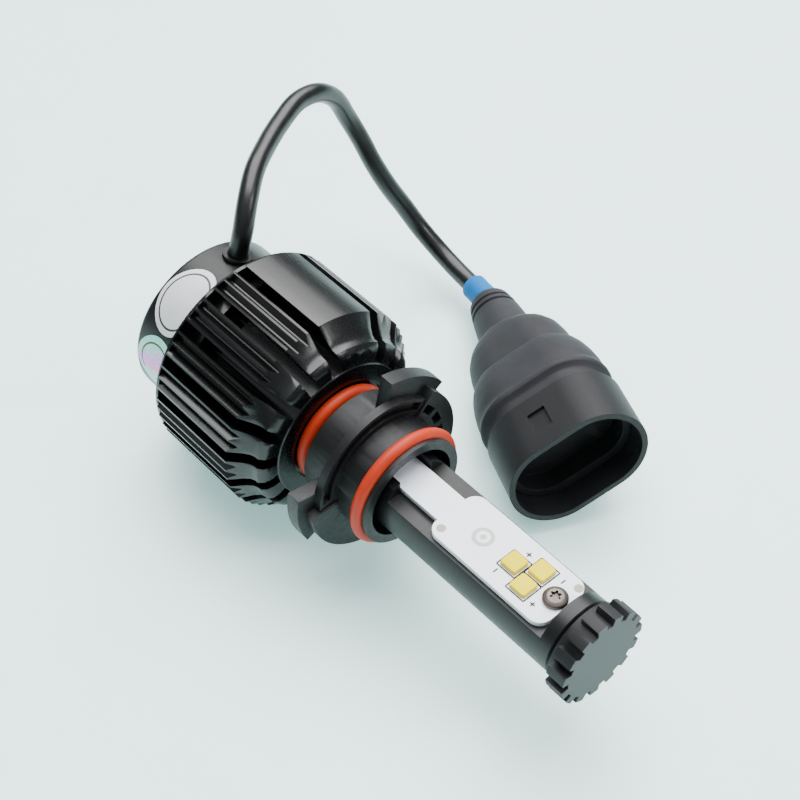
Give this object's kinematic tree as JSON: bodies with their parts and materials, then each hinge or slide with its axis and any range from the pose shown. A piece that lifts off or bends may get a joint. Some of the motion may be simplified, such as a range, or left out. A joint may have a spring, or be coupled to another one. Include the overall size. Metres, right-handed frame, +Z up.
{
  "type": "headlight bulb",
  "caption": "LED vehicle headlight bulb with a finned heat sink, rear fan, turning locking collar, sealing rings and a short cable with an oval plug.",
  "frame": {"origin": "on the bulb axis, at the front face of the sealing rim that enters the lamp housing", "axes": "+X along the bulb axis towards the light end, +Z up, square to the upper LED board; the lowest fin crests touch the surface that the bulb lies on"},
  "size_m": [0.1127, 0.0742, 0.0482],
  "materials": {
    "black_anodised_stem": "satin black anodised",
    "black_anodised_sink": "gloss black anodised",
    "cap_finish": "matte grey anodised",
    "board_white": "white solder resist",
    "led_yellow": "phosphor coated",
    "steel_screw": "plated",
    "cover_black": "satin",
    "fan_black": "moulded",
    "magnet": "bonded ferrite",
    "copper_winding": "enamelled copper wire",
    "bearing_bronze": "sintered bronze",
    "driver_green": "solder resist",
    "ferrite": "ground",
    "can_aluminium": "drawn can",
    "chip_black": "moulded",
    "wire_red": "silicone",
    "collar_nylon": "satin moulded",
    "seal_red": "silicone",
    "label_silver": "foil",
    "label_holographic": "holographic foil",
    "cable_black": "smooth jacket",
    "sleeve_blue": "heat shrink",
    "boot_rubber": "matte moulded",
    "plug_plastic": "moulded",
    "tin_plate": "tinned"
  },
  "bodies": {
    "housing": {"stem": "black_anodised_stem", "end_cap": "cap_finish", "led_board_top": "board_white", "led_board_bottom": "board_white", "led_chips_top": "led_yellow", "led_chips_bottom": "led_yellow", "board_screws": "steel_screw", "heat_sink": "black_anodised_sink", "rear_cover": "cover_black", "cover_screws": "steel_screw", "fan_frame": "fan_black", "fan_stator": "copper_winding", "fan_bearing": "bearing_bronze", "driver_board": "driver_green", "driver_inductor": "ferrite", "driver_capacitors": "can_aluminium", "driver_chips": "chip_black", "led_wires": "wire_red", "rear_o_ring": "seal_red", "oval_label": "label_silver", "round_label": "label_holographic", "cable_gland": "cable_black", "cable": "cable_black", "cable_sleeve": "sleeve_blue", "plug_boot": "boot_rubber", "plug_shell": "plug_plastic", "plug_insert": "plug_plastic", "plug_terminals": "tin_plate"},
    "fan_wheel": {"fan_rotor": "fan_black", "fan_magnet": "magnet"},
    "locking_collar": {"collar": "collar_nylon", "front_o_ring": "seal_red"}
  },
  "joints": [
    {"name": "fan_spin", "type": "hinge", "parent": "housing", "child": "fan_wheel", "pos_m": [-0.0505, 0, 0], "axis": [1, 0, 0], "continuous": true},
    {"name": "collar_turn", "type": "hinge", "parent": "housing", "child": "locking_collar", "pos_m": [-0.013, 0, 0], "axis": [1, 0, 0], "continuous": true}
  ]
}
